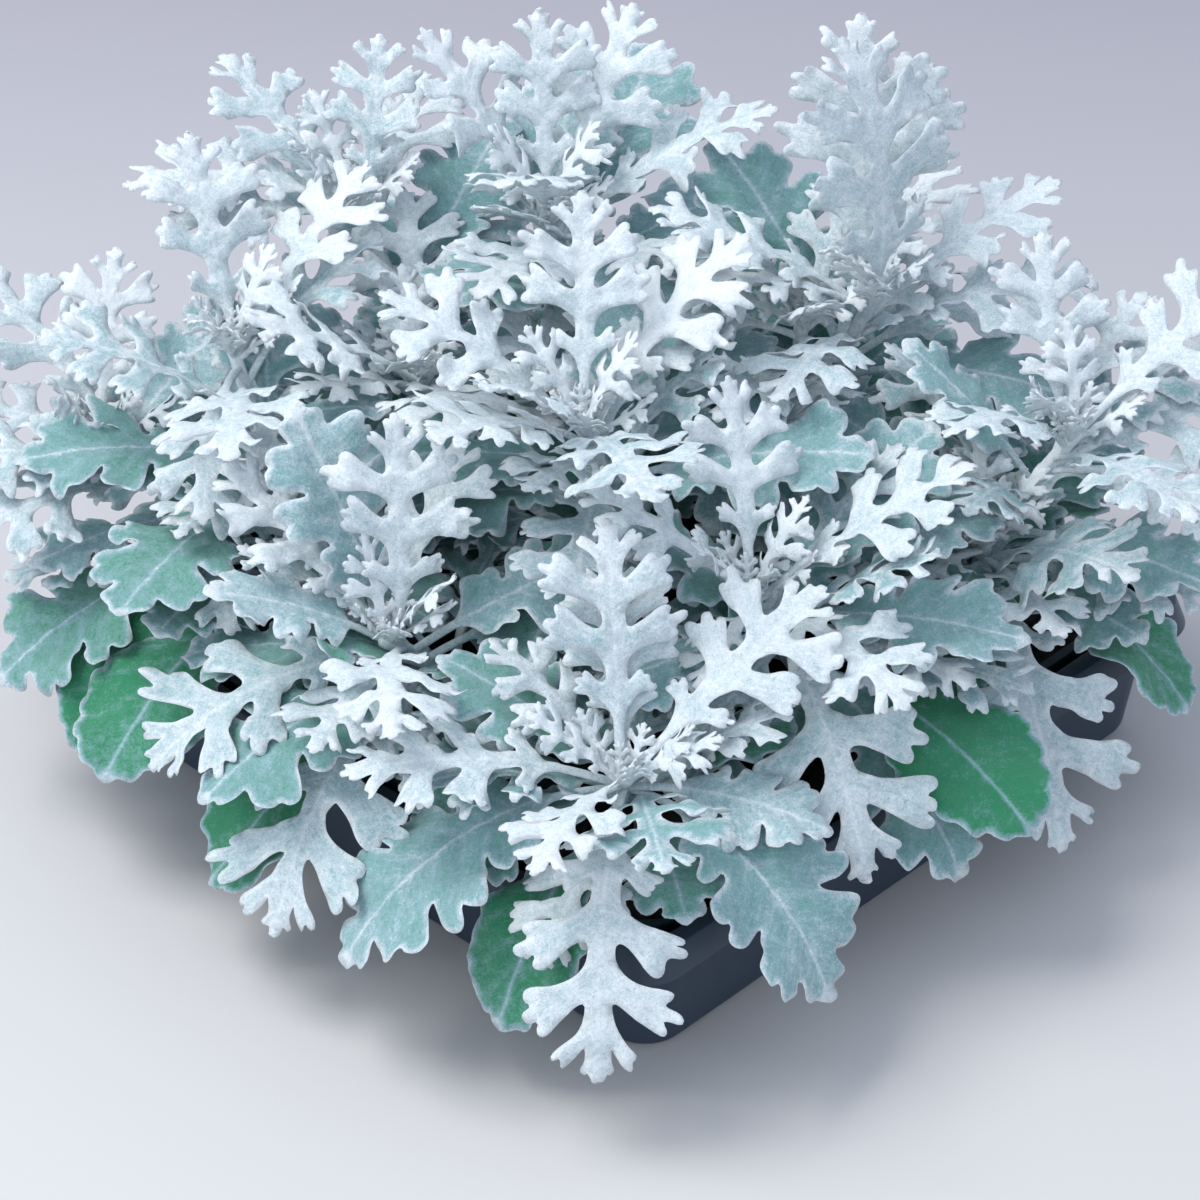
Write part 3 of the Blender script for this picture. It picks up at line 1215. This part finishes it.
def soil_plug(name, x, y, soil, chips):
    """One cell of potting mix with clumps and light grains."""
    low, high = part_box("soil_" + name)
    half = 0.5 * (high.x - low.x)
    select_none()
    bpy.ops.mesh.primitive_grid_add(x_subdivisions=SOIL_GRID, y_subdivisions=SOIL_GRID,
                                    size=2.0 * half)
    plug = bpy.context.object
    plug.name = "potting_soil_" + name
    draw = random.Random("soil " + name)
    flat = np.array([tuple(v.co)[:2] for v in plug.data.vertices]) / MM
    height = 1.1 * soft_noise(flat, 17.0, draw.random())
    height = height + 0.7 * soft_noise(flat, 5.5, draw.random())
    height += 0.45 * soft_noise(flat, 2.6, draw.random())
    for vert, rise in zip(plug.data.vertices, height):
        edge = max(abs(vert.co.x), abs(vert.co.y)) / half
        vert.co.z = (SOIL_TOP + 0.9 + rise * (1.0 - 0.6 * edge ** 6)) * MM
    bpy.ops.object.mode_set(mode="EDIT")
    bpy.ops.mesh.select_mode(type="EDGE")
    pick_edges(plug, lambda e: e.is_boundary)
    bpy.ops.mesh.extrude_region_move()
    bm = bmesh.from_edit_mesh(plug.data)
    for vert in bm.verts:
        if vert.select:
            shrink = SOIL_TAPER * (vert.co.z - low.z)
            vert.co.x -= math.copysign(shrink, vert.co.x)
            vert.co.y -= math.copysign(shrink, vert.co.y)
            vert.co.z = low.z
    bmesh.update_edit_mesh(plug.data)
    bpy.ops.mesh.edge_face_add()
    bpy.ops.mesh.select_all(action="SELECT")
    bpy.ops.mesh.normals_make_consistent(inside=False)
    bpy.ops.object.mode_set(mode="OBJECT")
    bpy.ops.object.shade_smooth()
    add_chips(plug, draw, half / MM)
    for vert in plug.data.vertices:
        vert.co.x += x * MM
        vert.co.y += y * MM
    finish_piece(plug, "soil_" + name, "soil", soil, chips)


def add_chips(plug, draw, half):
    """Scatter small light grains on the soil."""
    bm = bmesh.new()
    bm.from_mesh(plug.data)
    shade = bm.verts.layers.float.new("shade")
    for _ in range(SOIL_CHIPS):
        size = draw.uniform(0.35, 1.1) if draw.random() < 0.85 else draw.uniform(1.1, 1.9)
        made = bmesh.ops.create_icosphere(bm, subdivisions=1, radius=size * MM)["verts"]
        tone = draw.random()
        place = Vector((draw.uniform(-0.93, 0.93) * half, draw.uniform(-0.93, 0.93) * half,
                        SOIL_TOP + 1.0 + draw.uniform(-0.6, 0.9))) * MM
        stretch = Vector((draw.uniform(0.6, 1.6), draw.uniform(0.6, 1.4), draw.uniform(0.4, 0.9)))
        for vert in made:
            jolt = 1.0 + draw.uniform(-0.22, 0.22)
            vert.co = Vector(a * b * jolt for a, b in zip(vert.co, stretch)) + place
            vert[shade] = tone
        for face in {f for v in made for f in v.link_faces}:
            face.material_index = 1
    bm.to_mesh(plug.data)
    bm.free()


class MILLER_OT_soil(bpy.types.Operator):
    """Fill the nine cells with potting mix"""

    bl_idname = "miller.soil"
    bl_label = "Soil"

    def execute(self, context):
        look = context.scene.dusty_miller
        soil, chips = soil_paint(look), chip_paint()
        for name, (x, y) in cell_centres().items():
            soil_plug(name, x, y, soil, chips)
        return {"FINISHED"}


def area_light(name, place, size, power, colour):
    """A soft square light that faces the plants."""
    data = bpy.data.lights.new(name, "AREA")
    data.shape = "SQUARE"
    data.size = size
    data.energy = power
    data.color = colour
    obj = bpy.data.objects.new(name, data)
    obj.location = place
    obj.rotation_mode = "QUATERNION"
    obj.rotation_quaternion = (Vector(LIGHT_AIM) - Vector(place)).to_track_quat("-Z", "Y")
    bpy.context.scene.collection.objects.link(obj)


class MILLER_OT_stage(bpy.types.Operator):
    """Set the floor, the soft studio light and the camera"""

    bl_idname = "miller.stage"
    bl_label = "Stage"

    def execute(self, context):
        select_none()
        bpy.ops.mesh.primitive_plane_add(size=FLOOR_SIZE, location=(0.0, 0.0, 0.0))
        floor = context.object
        floor.name = "studio_floor"
        paint = Paint("floor_sheet")
        where = paint.place()
        far = paint.node("ShaderNodeVectorMath", {"operation": "DOT_PRODUCT"},
                         {0: where, 1: (0.72, 0.69, 0.0)}, out="Value")
        paint.set(Base_Color=paint.ramp((far * 1.2 + 0.33).clamped(), FLOOR_STOPS), Roughness=0.9)
        floor.data.materials.append(paint.material)
        world = bpy.data.worlds.new("studio_air")
        world.use_nodes = True
        air = world.node_tree.nodes["Background"]
        air.inputs["Color"].default_value = AIR_COLOUR
        air.inputs["Strength"].default_value = AIR_STRENGTH
        context.scene.world = world
        for light in LIGHTS:
            area_light(*light)
        context.scene.view_settings.view_transform = "Standard"
        set_camera(context)
        return {"FINISHED"}


def set_camera(context):
    """A long lens at the photograph's height and heading."""
    azimuth, elevation = math.radians(CAMERA_AZIMUTH), math.radians(CAMERA_ELEVATION)
    back = Vector((math.cos(elevation) * math.cos(azimuth),
                   math.cos(elevation) * math.sin(azimuth), math.sin(elevation)))
    data = bpy.data.cameras.new("photo_view")
    data.lens = CAMERA_LENS
    data.sensor_width = 36.0
    data.clip_end = 50.0
    camera = bpy.data.objects.new("photo_view", data)
    camera.location = CAMERA_PLACE
    camera.rotation_mode = "QUATERNION"
    camera.rotation_quaternion = (-back).to_track_quat("-Z", "Y")
    context.scene.collection.objects.link(camera)
    context.scene.camera = camera


class MILLER_PT_panel(bpy.types.Panel):
    """Lists the pieces of the tray"""

    bl_label = "Dusty miller"
    bl_space_type = "VIEW_3D"
    bl_region_type = "UI"
    bl_category = "Dusty miller"

    def draw(self, context):
        look = context.scene.dusty_miller
        for name in ("young_felt", "sage", "old_green", "tray_colour", "soil_colour",
                     "leaf_grain", "lobe_ruffle", "crown_leaves"):
            self.layout.prop(look, name)
        for operator in STEPS:
            self.layout.operator(operator)


STEPS = ("miller.tray", "miller.liner", "miller.soil", "miller.plants", "miller.stage")
CLASSES = (DustyMillerSettings, MILLER_OT_tray, MILLER_OT_liner, MILLER_OT_soil,
           MILLER_OT_plants, MILLER_OT_stage, MILLER_PT_panel)


def register():
    """Add the settings, operators and panel."""
    for cls in CLASSES:
        bpy.utils.register_class(cls)
    bpy.types.Scene.dusty_miller = bpy.props.PointerProperty(type=DustyMillerSettings)


def unregister():
    """Take them away again."""
    del bpy.types.Scene.dusty_miller
    for cls in reversed(CLASSES):
        bpy.utils.unregister_class(cls)


def main():
    """Build every piece in turn."""
    register()
    bpy.ops.miller.tray()
    bpy.ops.miller.liner()
    bpy.ops.miller.soil()
    bpy.ops.miller.plants()
    bpy.ops.miller.stage()


if __name__ == "__main__":
    main()
